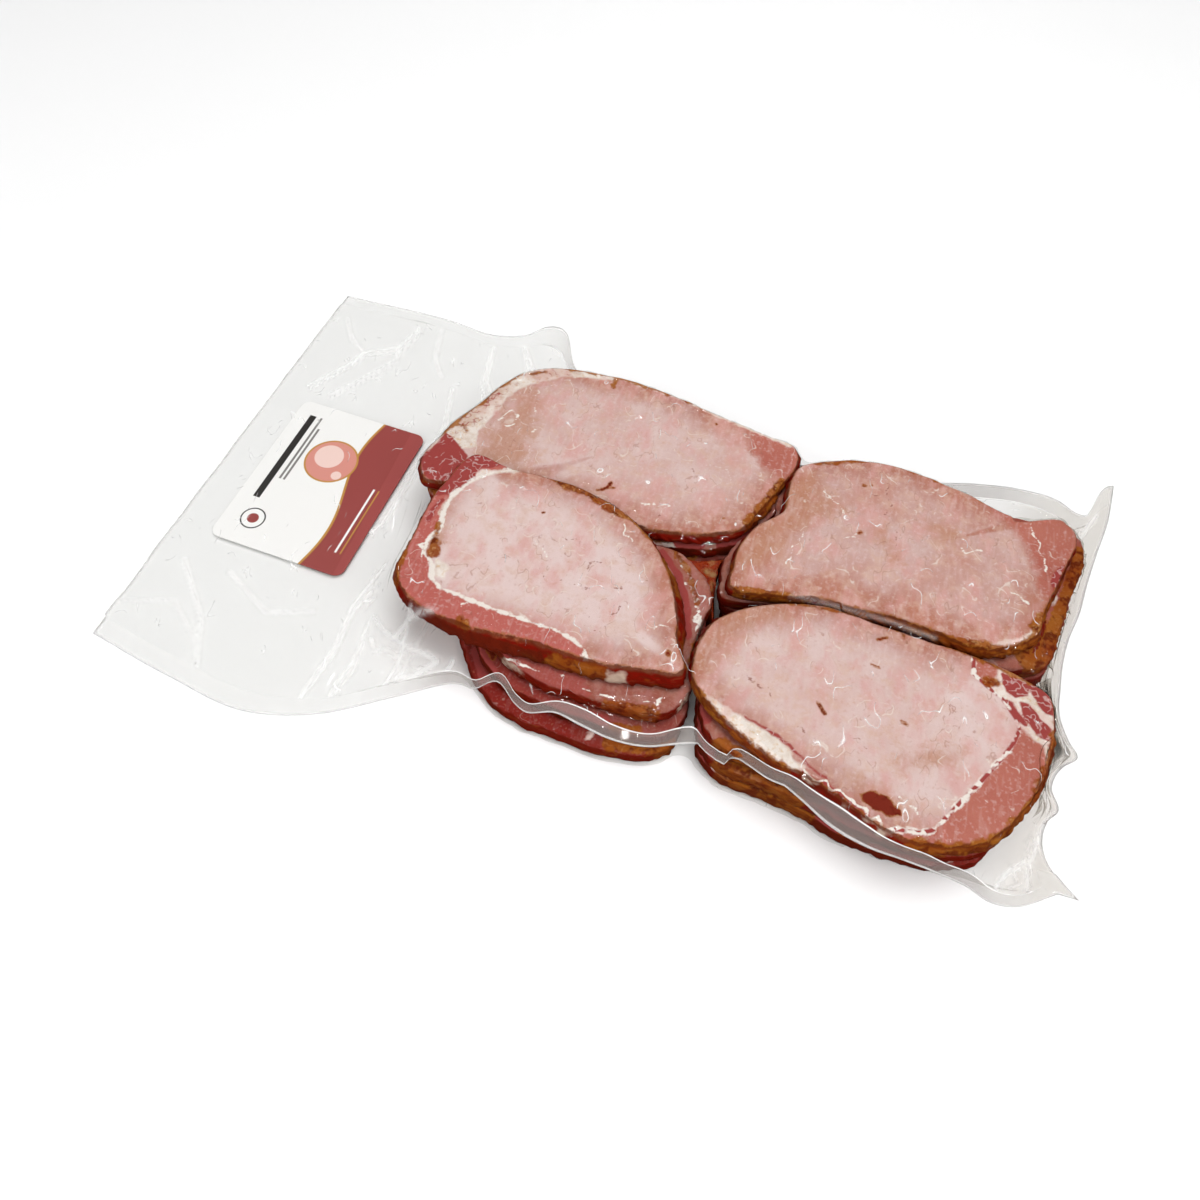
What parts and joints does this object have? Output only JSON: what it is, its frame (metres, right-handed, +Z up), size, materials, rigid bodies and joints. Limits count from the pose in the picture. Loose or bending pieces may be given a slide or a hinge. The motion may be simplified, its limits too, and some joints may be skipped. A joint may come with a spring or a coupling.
{
  "type": "vacuum pack of sliced smoked loin ham",
  "caption": "Clear vacuum pouch of sliced smoked pork loin lying flat, with welded seams, an empty flap of film and a paper label on the flap.",
  "frame": {"origin": "on the table, under the middle of the pack's footprint", "axes": "+X along the pack, away from the empty flap; +Y to the back edge; +Z up from the table"},
  "size_m": [0.3704, 0.2222, 0.0322],
  "materials": {
    "film": "clear, soft, glossy nylon and polyethylene film",
    "ham": "moist pink cured and smoked pork with a brown smoked rind",
    "label_paper": null
  },
  "bodies": {
    "root": {"pouch": "film", "label": "label_paper"}
  },
  "joints": []
}
